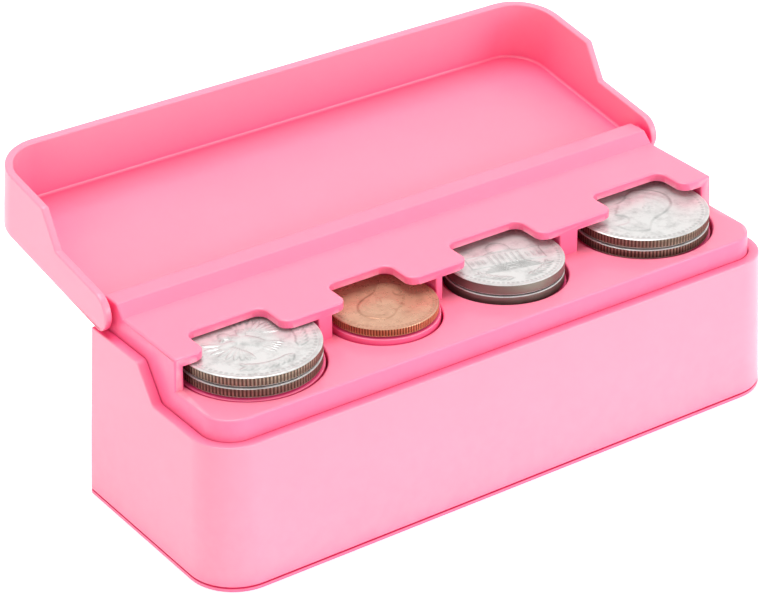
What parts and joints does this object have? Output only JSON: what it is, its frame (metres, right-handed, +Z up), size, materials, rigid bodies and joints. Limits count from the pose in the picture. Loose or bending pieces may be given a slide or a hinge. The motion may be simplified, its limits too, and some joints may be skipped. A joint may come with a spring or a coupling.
{
  "type": "coin holder",
  "caption": "Pocket coin holder with a hinged lid, sprung coin tubes and a notched plate, under which a thumb pushes the top coin of each stack out forwards.",
  "frame": {"origin": "centre of the underside of the base plate", "axes": "+X along the length, to the right seen from the front; +Y from the front to the hinge side; +Z up"},
  "size_m": [0.1204, 0.0759, 0.0521],
  "materials": {
    "pink_plastic": "semi-gloss moulded ABS",
    "cupronickel": "struck coin, bright with some wear",
    "copper": "struck copper coin",
    "spring_steel": "bright drawn wire"
  },
  "bodies": {
    "case": {"case": "pink_plastic", "base_plate": "pink_plastic", "coin_tray": "pink_plastic", "spring_quarter_left": "spring_steel", "spring_penny": "spring_steel", "spring_nickel": "spring_steel", "spring_quarter_right": "spring_steel"},
    "lid": {"lid": "pink_plastic"},
    "stack_quarter_left": {"follower_quarter_left": "pink_plastic", "coin_quarter_left_top": "cupronickel", "coin_quarter_left_lower": "cupronickel"},
    "stack_penny": {"follower_penny": "pink_plastic", "coin_penny": "copper"},
    "stack_nickel": {"follower_nickel": "pink_plastic", "coin_nickel_top": "cupronickel", "coin_nickel_lower": "cupronickel"},
    "stack_quarter_right": {"follower_quarter_right": "pink_plastic", "coin_quarter_right_top": "cupronickel", "coin_quarter_right_lower": "cupronickel"}
  },
  "joints": [
    {"name": "lid_hinge", "type": "hinge", "parent": "case", "child": "lid", "pos_m": [0, 0.01755, 0.0366], "axis": [1, 0, 0], "range_deg": [0, 170.6]},
    {"name": "follower_quarter_left_travel", "type": "slide", "parent": "case", "child": "stack_quarter_left", "axis": [0, 0, 1], "range_m": [-0.018, 0], "stiffness_N_per_m": 50, "springref_m": 0.012, "deforming": ["spring_quarter_left"]},
    {"name": "follower_penny_travel", "type": "slide", "parent": "case", "child": "stack_penny", "axis": [0, 0, 1], "range_m": [-0.018, 0], "stiffness_N_per_m": 50, "springref_m": 0.012, "deforming": ["spring_penny"]},
    {"name": "follower_nickel_travel", "type": "slide", "parent": "case", "child": "stack_nickel", "axis": [0, 0, 1], "range_m": [-0.018, 0], "stiffness_N_per_m": 50, "springref_m": 0.012, "deforming": ["spring_nickel"]},
    {"name": "follower_quarter_right_travel", "type": "slide", "parent": "case", "child": "stack_quarter_right", "axis": [0, 0, 1], "range_m": [-0.018, 0], "stiffness_N_per_m": 50, "springref_m": 0.012, "deforming": ["spring_quarter_right"]}
  ]
}
